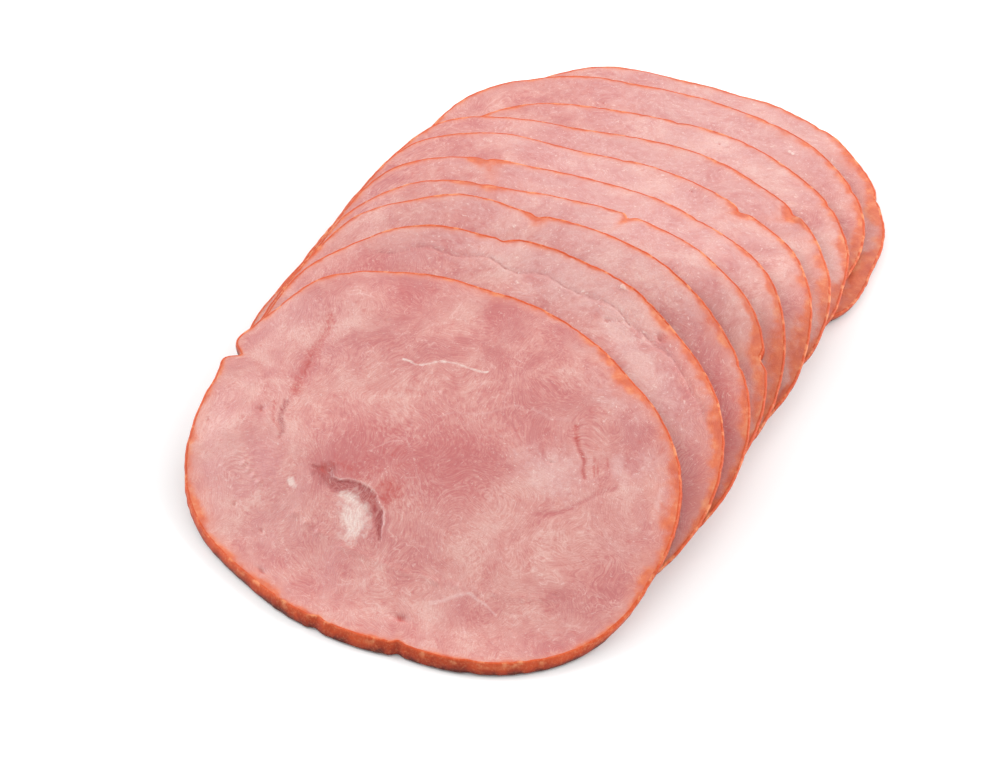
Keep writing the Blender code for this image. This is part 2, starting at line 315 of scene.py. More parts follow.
# The meat from dark to light, as (place on the ramp, colour).
MEAT_TONES = (
    (0.28, (203, 118, 116)),
    (0.44, (216, 141, 135)),
    (0.56, (223, 156, 147)),
    (0.75, (233, 180, 170)),
)
SHEATH_COLOUR = (242, 196, 187)
BLOTCH_COLOUR = (206, 108, 103)
PAINTED_GLINT_COLOUR = (252, 224, 214)
# White specks painted on the moist face as glints: painted highlights.
GRAIN_COLOUR = (196, 116, 108)

# Each tint, as (level where it starts, level where it is full, greatest share, colour).
TINT_LOOKS = {
    "rose": (0.20, 0.85, 0.85, (198, 103, 103)),
    "pale": (0.10, 0.95, 0.75, (240, 200, 194)),
    "mauve": (0.15, 0.80, 1.00, (166, 62, 62)),
    "red": (0.15, 0.85, 0.80, (198, 72, 64)),
    "fat": (0.25, 0.85, 0.95, (250, 230, 220)),
}

# The smoke's colour on the cut face: a warm haze, then orange, as (how far out in reaches it starts, where it
# is full, greatest share).
WARM_SPAN = (5.0, 0.8, 0.45)
ORANGE_SPAN = (2.4, 0.7, 0.85)
STAIN_RAGGEDNESS = 0.8
WARM_COLOUR = (233, 148, 126)
STAIN_TONES = (
    (0.32, (212, 82, 36)),
    (0.55, (232, 112, 56)),
    (0.75, (246, 162, 112)),
)

# The rind from its foot to its edge; the dark foot is painted shade, where the rind meets what it lies on.
RIND_TONES = (
    (0.05, (92, 20, 8)),
    (0.38, (168, 52, 18)),
    (0.72, (200, 72, 26)),
    (1.00, (214, 84, 38)),
)
RIND_LIGHT_COLOUR = (246, 168, 118)

# Noises, as (cells per cm, detail, roughness, distortion).
FIBRE_NOISE = (4.6, 5.0, 0.62, 0.3)
MOTTLE_NOISE = (2.4, 6.0, 0.6)
CLOUD_NOISE = (0.7, 4.0, 0.55, 0.4)
GRAIN_NOISE = (26.0, 3.0, 0.6)
BLOTCH_NOISE = (9.0, 4.0, 0.6)
RAGGED_NOISE = (7.0, 4.0, 0.6)
PAINTED_GLINT_NOISE = (11.0, 4.0, 0.75)
STAIN_EDGE_NOISE = (1.8, 5.0, 0.55)
STAIN_TONE_NOISE = (3.0, 4.0, 0.55)
RIND_PATCH_NOISE = (1.6, 5.0, 0.6, 0.5)
RIND_PALE_TOP_NOISE = (3.1, 4.0, 0.6)
RIND_FINE_NOISE = (16.0, 4.0, 0.65)

# The meat's pattern: swirls as (cells per cm, reach in cm), bundles of fibres per cm, the stretch of a fibre,
# and pale lines between bundles as (cells per cm, width).
SWIRL = (0.40, 1.5)
SWIRL_FINER = (2.0, 0.30)
BUNDLES = 0.6
FIBRE_STRETCH = (1.2, 4.6, 1.5)
SHEATH_WIDE = (1.3, 0.010)
SHEATH_FINE = (3.0, 0.012)

# How the surfaces shine and let light in.
MEAT_ROUGHNESS = (0.36, 0.52)
MEAT_SUBSURFACE = 0.15
MEAT_SUBSURFACE_RADIUS = (1.0, 0.45, 0.3)
MEAT_SUBSURFACE_SCALE = 0.7 * MM
MEAT_COAT = 0.25
MEAT_COAT_ROUGHNESS = 0.2
MEAT_BUMP = 0.25 * MM
RIND_ROUGHNESS = (0.38, 0.55)
RIND_SPECULAR = 0.3
RIND_SUBSURFACE = 0.05
RIND_SUBSURFACE_RADIUS = (1.0, 0.4, 0.2)
RIND_SUBSURFACE_SCALE = 0.6 * MM
RIND_BUMP = 0.2 * MM
BUMP_STRENGTH = 0.5

# The room: even light, the floor's brightness, and softboxes as (name, place, power in watts).
ROOM_LIGHT = 0.79
FLOOR_COLOUR = (0.93, 0.93, 0.93, 1.0)
FLOOR_ROUGHNESS = 0.7
FLOOR_SPECULAR = 0.2
FLOOR_SIZE = 6.0
FLOOR_DROP = 0.3 * MM
SOFTBOX_SIZE = 0.8
SOFTBOXES = (
    ("left", (-1.2, -0.1, 0.8), 12.8),
    ("back", (0.2, 1.2, 0.8), 4.2),
    ("back_right", (1.0, 0.8, 0.8), 14.8),
)


def paint(colour, light):
    """The linear colour that shows as the given one, from 0 to 255, under a light of the given strength."""
    shares = [value / 255.0 for value in colour]
    linear = [share / 12.92 if share <= 0.04045 else ((share + 0.055) / 1.055) ** 2.4 for share in shares]
    return (*[value / light for value in linear], 1.0)


def paint_tones(tones, light):
    """The stops of a colour ramp, each painted for the light."""
    return [(place, paint(colour, light)) for place, colour in tones]


# ---- height maps -------------------------------------------------------------------------------------------


def map_frame(box):
    """The height maps' low corner and shape, from the CAD box."""
    low, high = box
    start = (low.x - MAP_MARGIN, low.y - MAP_MARGIN)
    columns = int((high.x - low.x + 2 * MAP_MARGIN) / CELL) + 1
    rows = int((high.y - low.y + 2 * MAP_MARGIN) / CELL) + 1
    return start, (rows, columns)


def cell_places(grid):
    """x and y of every cell of a map."""
    (start_x, start_y), (rows, columns) = grid
    return np.meshgrid(start_x + CELL * np.arange(columns), start_y + CELL * np.arange(rows))


def blur(field, width):
    """Gaussian blur of a map, with the width in metres."""
    reach = int(math.ceil(3.0 * width / CELL))
    offsets = np.arange(-reach, reach + 1)
    weights = np.exp(-0.5 * (offsets * CELL / width) ** 2)
    weights = weights / weights.sum()
    for axis in (0, 1):
        pad = [(0, 0), (0, 0)]
        pad[axis] = (reach, reach)
        padded = np.pad(field, pad, mode="edge")
        length = field.shape[axis]
        field = sum(w * padded.take(range(i, i + length), axis=axis) for i, w in enumerate(weights))
    return field


def masked_blur(field, mask, width):
    """Blurs a map inside the mask only, as if nothing were outside it."""
    weight = np.maximum(blur(mask.astype(float), width), LEAST_WEIGHT)
    return blur(np.where(mask, field, 0.0), width) / weight


def spread(field, mask):
    """Continues a map smoothly outside its mask."""
    result = np.where(mask, field, 0.0)
    known = mask.copy()
    for width in SPREAD_BLURS:
        weight = blur(mask.astype(float), width)
        guess = blur(np.where(mask, field, 0.0), width) / np.maximum(weight, LEAST_WEIGHT)
        new = ~known & (weight > LEAST_WEIGHT)
        result[new] = guess[new]
        known |= new
    return result


def cubic_weights(part):
    """Catmull-Rom weights of the four cells round a point."""
    return (
        ((-0.5 * part + 1.0) * part - 0.5) * part,
        (1.5 * part - 2.5) * part * part + 1.0,
        ((-1.5 * part + 2.0) * part + 0.5) * part,
        (0.5 * part - 0.5) * part * part,
    )


def read_map(field, grid, x, y):
    """Smooth value of a map at points."""
    (start_x, start_y), (rows, columns) = grid
    column = np.clip((x - start_x) / CELL, 1.0, columns - 3.001)
    row = np.clip((y - start_y) / CELL, 1.0, rows - 3.001)
    left = column.astype(int)
    low = row.astype(int)
    across = cubic_weights(column - left)
    along = cubic_weights(row - low)
    total = np.zeros(np.shape(x))
    for i, row_weight in enumerate(along):
        for j, column_weight in enumerate(across):
            total += row_weight * column_weight * field[low + i - 1, left + j - 1]
    return total


# ---- the CAD slices ----------------------------------------------------------------------------------------


def node_names(number):
    """The CAD nodes of a slice: its meat and its rind."""
    return f"slice_{number:02d}_meat", f"slice_{number:02d}_rind"


def even_angles(count):
    """Angles spaced evenly all the way round."""
    return np.arange(count) * 2 * math.pi / count - math.pi


def cad_outline(number):
    """The slice's centre, and its rim's radius at even angles, read from the outer wall of the CAD rind."""
    name = node_names(number)[1]
    low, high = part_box(name)
    centre = (low + high) / 2
    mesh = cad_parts[name].data
    found = {}
    for face in mesh.polygons:
        outward = Vector((face.center.x - centre.x, face.center.y - centre.y))
        if abs(face.normal.z) < WALL_STEEPNESS and face.normal.xy.dot(outward) > 0.0:
            for index in face.vertices:
                x, y, _ = mesh.vertices[index].co - centre
                found[round(math.atan2(y, x), 3)] = math.hypot(x, y)
    angles = np.array(sorted(found))
    radii = np.array([found[angle] for angle in angles])
    even = even_angles(OUTLINE_POINTS)
    waves = np.fft.rfft(np.interp(even, angles, radii, period=2 * math.pi))
    fade = np.exp(-((np.arange(len(waves)) / RIM_HARMONICS) ** 4))
    return centre, np.fft.irfft(waves * fade, len(even))


def turn_between(angle, degrees):
    """The signed turn in degrees from a direction to each angle in radians."""
    return np.degrees(np.angle(np.exp(1j * (angle - math.radians(degrees)))))


def rim_radius(shape, angle):
    """Distance from the slice's centre to its finished rim: the CAD outline with small dents and waves."""
    even = even_angles(OUTLINE_POINTS)
    radius = np.interp(angle, even, shape["outline"], period=2 * math.pi)
    radius = radius + np.interp(angle, even, shape["waves"], period=2 * math.pi)
    for degrees, depth, half_width in NOTCHES[shape["number"]]:
        radius = radius - depth * MM * np.exp(-((turn_between(angle, degrees) / half_width) ** 2))
    return radius


def slant(shape, angle):
    """How far in from the rim the foot of the wall stands."""
    total = np.zeros(np.shape(angle))
    for degrees, amount, half_width in SLANTS["front" if shape["number"] == 1 else "other"]:
        total = total + amount * MM * np.exp(-((turn_between(angle, degrees) / half_width) ** 2))
    return total


def rim_waves(number):
    """Small seeded waves of the rim, a few millimetres long."""
    rng = np.random.default_rng(SEED + number)
    orders = np.arange(RIM_WAVES)
    strength = np.where(orders > RIM_HARMONICS, 1.0 / np.sqrt(orders + 1.0), 0.0)
    phases = np.exp(2j * math.pi * rng.random(RIM_WAVES))
    spectrum = np.zeros(OUTLINE_POINTS // 2 + 1, complex)
    spectrum[:RIM_WAVES] = strength * phases
    waves = np.fft.irfft(spectrum, OUTLINE_POINTS)
    return waves * RIM_WAVE_HEIGHT / waves.std()


def cad_top(number, grid, mask):
    """The height of the CAD slice's top face over a mask, smoothed as soft meat smooths it."""
    tops = np.full(mask.shape, np.nan)
    place_x, place_y = cell_places(grid)
    for name in node_names(number):
        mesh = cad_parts[name].data
        tree = BVHTree.FromPolygons([v.co for v in mesh.vertices], [list(p.vertices) for p in mesh.polygons])
        for row, column in zip(*np.nonzero(mask)):
            start = Vector((place_x[row, column], place_y[row, column], PROBE_HEIGHT))
            place = tree.ray_cast(start, Vector((0.0, 0.0, -1.0)))[0]
            if place is not None:
                tops[row, column] = np.fmax(tops[row, column], place.z)
    hit = ~np.isnan(tops)
    return spread(masked_blur(np.nan_to_num(tops), hit, SMOOTHING), hit)


def slice_shapes():
    """The outline and height map of every slice, laid from the rear one up."""
    grid = map_frame(cad_box)
    place_x, place_y = cell_places(grid)
    pile = np.zeros(grid[1])
    shapes = {}
    for number in range(SLICE_COUNT, 0, -1):
        centre, outline = cad_outline(number)
        shape = {"number": number, "centre": centre, "grid": grid, "outline": outline}
        shape["waves"] = rim_waves(number)
        angle = np.arctan2(place_y - centre.y, place_x - centre.x)
        depth = rim_radius(shape, angle) - np.hypot(place_x - centre.x, place_y - centre.y)
        mask = depth > -CELL
        under = cad_top(number, grid, mask) - THICKNESS
        floor = np.where(pile > 0.0, pile + AIR_GAP, 0.0)
        under = np.maximum(under, floor)
        under = np.maximum(spread(masked_blur(under, mask, TOUCH_SMOOTHING), mask), floor)
        shape["under"] = spread(under, mask)
        shapes[number] = shape
        pile = np.where(depth > 0.0, under + THICKNESS, pile)
    return shapes


# ---- marks on the cut face ---------------------------------------------------------------------------------


def ellipse_share(x, y, patch):
    """1 at the middle of an elliptical mark, 0.5 at its edge, falling away outside."""
    centre_x, centre_y, half_length, half_width, degrees = patch
    turn = math.radians(degrees)
    along = (x - centre_x) * math.cos(turn) + (y - centre_y) * math.sin(turn)
    across = (y - centre_y) * math.cos(turn) - (x - centre_x) * math.sin(turn)
    distance = np.hypot(along / half_length, across / half_width)
    return 0.5 ** (distance**2)


def near_line(x, y, points):
    """How points lie to a line through several (x, y, value) points: the distance in mm, positive on the
    right-hand side as the line runs, and the line's value at the nearest place."""
    nearest = np.full(x.shape, 1e9)
    side = np.ones(x.shape)
    value = np.zeros(x.shape)
    for (x0, y0, value0), (x1, y1, value1) in zip(points, points[1:]):
        step_x = x1 - x0
        step_y = y1 - y0
        share = ((x - x0) * step_x + (y - y0) * step_y) / (step_x**2 + step_y**2)
        share = np.clip(share, 0.0, 1.0)
        away_x = x - x0 - share * step_x
        away_y = y - y0 - share * step_y
        distance = np.hypot(away_x, away_y)
        closer = distance < nearest
        nearest = np.where(closer, distance, nearest)
        side = np.where(closer, np.sign(step_y * away_x - step_x * away_y), side)
        value = np.where(closer, value0 + share * (value1 - value0), value)
    return nearest * side, value


def ledge_marks(x, y):
    """The painted shade of the hollow under the torn ledge at points, its depth, and how near the thin lip
    is.
    """
    distance, reach = near_line(x, y, LEDGE)
    below = np.clip(distance / LIP_WIDTH, 0.0, 1.0)
    shade_share, shade_strength = LEDGE_SHADE
    hollow_share, full_reach = LEDGE_HOLLOW
    shade = shade_strength * below * np.exp(-((distance / (shade_share * reach)) ** 4))
    fade = np.exp(-((distance / (hollow_share * reach)) ** 2))
    hollow = below * fade * np.clip(reach / full_reach, 0.0, 1.0)
    lip = np.exp(-(((distance + LIP_WIDTH) / LIP_WIDTH) ** 2)) * (reach > LIP_LEAST_REACH)
    return shade, hollow, lip


def wander(x, y):
    """Moves points a little, so that what is drawn there is not too regular."""
    moved_x = x
    moved_y = y
    for reach, across, along, turn in WANDER:
        wave = 2 * math.pi * (across * x + along * y) + turn
        moved_x = moved_x + reach * np.sin(wave)
        moved_y = moved_y + reach * np.cos(1.3 * wave)
    return moved_x, moved_y


def stray_pits(number):
    """A few small seeded pits for each slice."""
    rng = np.random.default_rng(SEED * 100 + number)
    pits = []
    for _ in range(STRAY_PITS):
        angle = rng.uniform(0.0, 2 * math.pi)
        distance = STRAY_PIT_REACH * math.sqrt(rng.uniform(0.05, 1.0))
        size = rng.uniform(*STRAY_PIT_SIZE)
        x = distance * math.cos(angle)
        y = SLICE_SQUASH * distance * math.sin(angle)
        half_width = STRAY_PIT_SHAPE * size
        pits.append((x, y, size, half_width, STRAY_PIT_TURN, STRAY_PIT_DEPTH, STRAY_PIT_REDNESS))
    return tuple(pits)


def marks(number, x, y):
    """The tints at points in mm from the slice's centre, and how far the face sinks there in mm."""
    tints = {tint: np.zeros(x.shape) for tint in TINT_LOOKS}
    sink = np.zeros(x.shape)

    def tint_more(tint, share):
        tints[tint] = np.maximum(tints[tint], share)

    moved_x, moved_y = wander(x, y)
    patches = COMMON_PATCHES + OWN_PATCHES.get(number, ())
    # The rear slices get the paler band of painted sheen.
    if number > 1:
        patches += (REAR_PAINTED_SHEEN,)
    for tint, *patch, strength in patches:
        tint_more(tint, strength * ellipse_share(moved_x, moved_y, patch))
    for tint, points, half_width, depth, strength in COMMON_SEAMS + OWN_SEAMS.get(number, ()):
        distance, _ = near_line(moved_x, moved_y, [(*point, 0.0) for point in points])
        near = np.exp(-((distance / half_width) ** 2))
        tint_more(tint, strength * near)
        sink = sink + depth * near
    shade, hollow, lip = ledge_marks(x, y)
    # Painted shade in the hollow under the ledge, laid on as the mauve tint.
    tint_more("mauve", shade)
    tint_more("pale", LIP_PALENESS * lip)
    sink = sink + LEDGE_DEPTH * hollow - LIP_HEIGHT * lip
    for *pit, depth, redness in PITS.get(number, ()) + stray_pits(number):
        inside = ellipse_share(x, y, pit) ** 2
        tint_more("red", redness * inside)
        sink = sink + depth * inside
    for crumb_x, crumb_y, size, height in CRUMBS.get(number, ()):
        inside = ellipse_share(x, y, (crumb_x, crumb_y, size, size, 0.0)) ** 3
        tint_more("fat", CRUMB_WHITENESS * inside)
        sink = sink - height * inside
    return tints, sink


def stain_reach(number, angle):
    """How far in from the rim the smoke's colour reaches, in mm."""
    reach = np.full(angle.shape, STAIN_REACH)
    for degrees, extra, half_width in (STAIN_WIDE,) + OWN_STAINS.get(number, ()):
        reach = reach + extra * np.exp(-((turn_between(angle, degrees) / half_width) ** 2))
    return reach


# ---- meshes ------------------------------------------------------------------------------------------------


def meat_stations(detail):
    """The meat's closed profile from the top centre: (share of the way to the rind, height share)."""
    top = [(ring / TOP_RINGS[detail], 1.0) for ring in range(1, TOP_RINGS[detail] + 1)]
    wall = [(1.0, 0.5)]
    bottom = [(ring / BOTTOM_RINGS, 0.0) for ring in range(BOTTOM_RINGS, 0, -1)]
    return top + wall + bottom


def rind_stations():
    """The rind's closed profile: (distance in from the rim, height share, drop from that height)."""
    corner = []
    for step in range(CORNER_STEPS + 1):
        turn = math.radians(90.0 * step / CORNER_STEPS)
        corner.append((EDGE_ROUNDING * (1.0 - math.sin(turn)), EDGE_ROUNDING * (1.0 - math.cos(turn))))
    top = [(inset, 1.0, drop) for inset, drop in corner]
    wall = [(-0.7 * WALL_BULGE, 0.62, 0.0), (-WALL_BULGE, 0.45, 0.0), (-0.8 * WALL_BULGE, 0.3, 0.0)]
    bottom = [(inset, 0.0, -0.6 * drop) for inset, drop in reversed(corner)]
    return [(RIND_WIDTH, 1.0, 0.0)] + top + wall + bottom + [(RIND_WIDTH, 0.0, 0.0), (RIND_WIDTH, 0.5, 0.0)]


def grid_faces(rings, points, closed):
    """Quads between rings of points; closed joins the last ring to the first."""
    ring = np.arange(rings if closed else rings - 1)[:, None]
    here = np.arange(points)[None, :]
    after = (here + 1) % points
    above = (ring + 1) % rings
    low = ring * points
    high = above * points
    return np.stack([low + here, high + here, high + after, low + after], -1).reshape(-1, 4)


def fan_faces(centre, first, points, flip):
    """Triangles from a centre point to a ring."""
    here = first + np.arange(points)
    after = first + (np.arange(points) + 1) % points
    corners = (centre, after, here) if flip else (centre, here, after)
    return np.stack([np.broadcast_to(corner, here.shape) for corner in corners], -1)


def lay_points(shape, angle, inset, height, drop):
    """Places points of the slice: angle, distance in from the rim, height share and drop below it."""
    centre = shape["centre"]
    radius = rim_radius(shape, angle) - inset
    radius = radius - slant(shape, angle) * (1.0 - height) * radius / radius.max()
    x = centre.x + radius * np.cos(angle)
    y = centre.y + radius * np.sin(angle)
    under = read_map(shape["under"], shape["grid"], x, y)
    tints, sink = marks(shape["number"], (x - centre.x) / MM, (y - centre.y) / MM)
    top = under + THICKNESS - np.where(height > 0.5, sink * MM, 0.0)
    z = under + height * (top - under) - drop
    return np.stack([x, y, np.maximum(z, 0.0)], -1), tints


def make_piece(name, shape, places, inset, height, angle, tints, faces, material):
    """A finished mesh piece with the values that its material reads."""
    mesh = bpy.data.meshes.new(name)
    mesh.from_pydata(places.tolist(), [], faces)
    mesh.shade_smooth()
    mesh.materials.append(material)
    centre = shape["centre"]
    ham = (places - np.array((centre.x, centre.y, 0.0))) / CM
    ham[:, 2] = THICKNESS / CM * (shape["number"] + 1.0 - height)
    store(mesh, "ham", "FLOAT_VECTOR", ham)
    store(mesh, "rim", "FLOAT", inset / MM / stain_reach(shape["number"], angle))
    store(mesh, "depth", "FLOAT", height)
    for tint, values in tints.items():
        store(mesh, tint, "FLOAT", values)
    piece = bpy.data.objects.new(name, mesh)
    bpy.context.scene.collection.objects.link(piece)
    return piece


def store(mesh, name, kind, values):
    """Writes values to a point attribute of a mesh."""
    attribute = mesh.attributes.new(name, kind, "POINT")
    field = "vector" if kind == "FLOAT_VECTOR" else "value"
    attribute.data.foreach_set(field, np.asarray(values, np.float32).ravel())


def sharpen(mesh, first_vertices, points):
    """Marks whole rings of edges as sharp; each ring is given by its first vertex."""
    flags = np.zeros(len(mesh.edges), bool)
    ends = np.empty(len(mesh.edges) * 2, np.int32)
    mesh.edges.foreach_get("vertices", ends)
    ends = ends.reshape(-1, 2)
    for first in first_vertices:
        inside = (ends >= first) & (ends < first + points)
        flags |= inside.all(axis=1)
    attribute = mesh.attributes.new("sharp_edge", "BOOLEAN", "EDGE")
    attribute.data.foreach_set("value", flags)


def make_meat(shape, material):
    """The slice's meat: a dense top face, a wall and a plainer underside."""
    detail = "front" if shape["number"] == 1 else "other"
    points = RIM_POINTS[detail]
    stations = meat_stations(detail)
    angle = even_angles(points)
    share = np.array([station[0] for station in stations])[:, None]
    height = np.array([station[1] for station in stations])[:, None] + 0.0 * angle
    edge = rim_radius(shape, angle) - RIND_WIDTH
    inset = rim_radius(shape, angle)[None, :] - share * edge[None, :]
    angles = np.broadcast_to(angle, inset.shape)
    rim_count = inset.size
    angles = np.append(angles.ravel(), (0.0, 0.0))
    inset = np.append(inset.ravel(), (rim_radius(shape, np.zeros(1))[0],) * 2)
    height = np.append(height.ravel(), (1.0, 0.0))
    places, tints = lay_points(shape, angles, inset, height, 0.0)
    faces = grid_faces(len(stations), points, False).tolist()
    faces += fan_faces(rim_count, 0, points, False).tolist()
    faces += fan_faces(rim_count + 1, (len(stations) - 1) * points, points, True).tolist()
    name = f"ham_{shape['number']:02d}_meat"
    piece = make_piece(name, shape, places, inset, height, angles, tints, faces, material)
    rings = TOP_RINGS[detail]
    sharpen(piece.data, [(rings - 1) * points, (rings + 1) * points], points)
    return piece


def make_rind(shape, material):
    """The slice's rind: a thin closed band round the rim with rounded outer edges."""
    detail = "front" if shape["number"] == 1 else "other"
    points = RIM_POINTS[detail]
    stations = rind_stations()
    angle = even_angles(points)
    columns = np.array(stations)
    inset = (columns[:, 0][:, None] + 0.0 * angle).ravel()
    height = (columns[:, 1][:, None] + 0.0 * angle).ravel()
    drop = (columns[:, 2][:, None] + 0.0 * angle).ravel()
    angles = np.tile(angle, len(stations))
    places, tints = lay_points(shape, angles, inset, height, drop)
    faces = grid_faces(len(stations), points, True).tolist()
    name = f"ham_{shape['number']:02d}_rind"
    shown_height = height - drop / THICKNESS
    piece = make_piece(name, shape, places, inset, shown_height, angles, tints, faces, material)
    sharpen(piece.data, [0, (len(stations) - 2) * points], points)
    return piece


# ---- materials ---------------------------------------------------------------------------------------------


class Shader:
    """A material's node tree, with short calls that add nodes and join them."""

    def __init__(self, name):
        self.material = bpy.data.materials.new(name)
        self.material.use_nodes = True
        self.tree = self.material.node_tree
        self.surface = self.tree.nodes["Principled BSDF"]

    def put(self, socket, value):
        """Joins a socket to another node's output, or sets its value."""
        if isinstance(value, bpy.types.NodeSocket):
            self.tree.links.new(value, socket)
        else:
            socket.default_value = value

    def add(self, kind, inputs, output=0, **settings):
        """Adds a node and returns one of its outputs."""
        node = self.tree.nodes.new(kind)
        for key, value in settings.items():
            setattr(node, key, value)
        for key, value in inputs.items():
            self.put(node.inputs[key], value)
        return node.outputs[output]

    def attribute(self, name, output="Fac"):
        """A value stored on the mesh."""
        return self.add("ShaderNodeAttribute", {}, output, attribute_name=name)

    def noise(self, place, scale, detail=4.0, roughness=0.55, distortion=0.0):
        """A noise value round 0.5."""
        inputs = {"Vector": place, "Scale": scale, "Detail": detail, "Roughness": roughness}
        return self.add("ShaderNodeTexNoise", {**inputs, "Distortion": distortion})

    def math(self, operation, first, second=0.0):
        """One arithmetic step."""
        return self.add("ShaderNodeMath", {0: first, 1: second}, operation=operation)

    def span(self, value, low, high, to_low=0.0, to_high=1.0):
        """Maps a value smoothly from one range to another."""
        inputs = {"Value": value, "From Min": low, "From Max": high, "To Min": to_low, "To Max": to_high}
        return self.add("ShaderNodeMapRange", inputs, interpolation_type="SMOOTHSTEP")

    def mix(self, share, first, second):
        """Mixes two colours."""
        node = self.tree.nodes.new("ShaderNodeMix")
        node.data_type = "RGBA"
        self.put(node.inputs["Factor"], share)
        self.put(node.inputs[6], first)
        self.put(node.inputs[7], second)
        return node.outputs[2]

    def bump(self, height, distance):
        """A normal that makes a height from 0 to 1 look raised by the distance."""
        inputs = {"Height": height, "Strength": BUMP_STRENGTH, "Distance": distance}
        return self.add("ShaderNodeBump", inputs, "Normal")

    def ramp(self, value, stops):
        """A colour ramp through (place, colour) stops."""
        node = self.tree.nodes.new("ShaderNodeValToRGB")
        self.put(node.inputs["Fac"], value)
        while len(node.color_ramp.elements) < len(stops):
            node.color_ramp.elements.new(0.5)
        for element, (place, colour) in zip(node.color_ramp.elements, stops):
            element.position = place
            element.color = colour
        return node.outputs["Color"]


def warped(shader, place, scale, amount):
    """A place moved about by a soft noise, so that what is drawn there swirls."""
    drift = shader.add("ShaderNodeTexNoise", {"Vector": place, "Scale": scale, "Detail": 2.0}, "Color")
    centred = shader.add("ShaderNodeVectorMath", {0: drift, 1: (0.5, 0.5, 0.5)}, operation="SUBTRACT")
    scaled = shader.add("ShaderNodeVectorMath", {0: centred, "Scale": amount}, operation="SCALE")
    return shader.add("ShaderNodeVectorMath", {0: place, 1: scaled}, operation="ADD")


def rim_stain(shader, ham, colour):
    """Lays the smoke's orange over a colour near the rim."""
    rim = shader.attribute("rim")
    uneven = shader.noise(ham, *STAIN_EDGE_NOISE)
    place = shader.math("ADD", rim, shader.span(uneven, 0.30, 0.70, STAIN_RAGGEDNESS, -STAIN_RAGGEDNESS))
    warm_start, warm_full, warm_share = WARM_SPAN
    orange_start, orange_full, orange_share = ORANGE_SPAN
    soft = shader.span(place, warm_start, warm_full)
    strong = shader.span(place, orange_start, orange_full)
    warm = shader.mix(shader.math("MULTIPLY", soft, warm_share), colour, paint(WARM_COLOUR, MEAT_LIGHT))
    shade = shader.noise(ham, *STAIN_TONE_NOISE)
    orange = shader.ramp(shade, paint_tones(STAIN_TONES, MEAT_LIGHT))
    return shader.mix(shader.math("MULTIPLY", strong, orange_share), warm, orange)


def thin_lines(shader, place, scale, width):
    """Thin wandering lines where a soft noise crosses its middle."""
    value = shader.noise(place, scale, 2.0, 0.5, 0.3)
    off = shader.math("ABSOLUTE", shader.math("SUBTRACT", value, 0.5))
    return shader.span(off, width, 0.0)


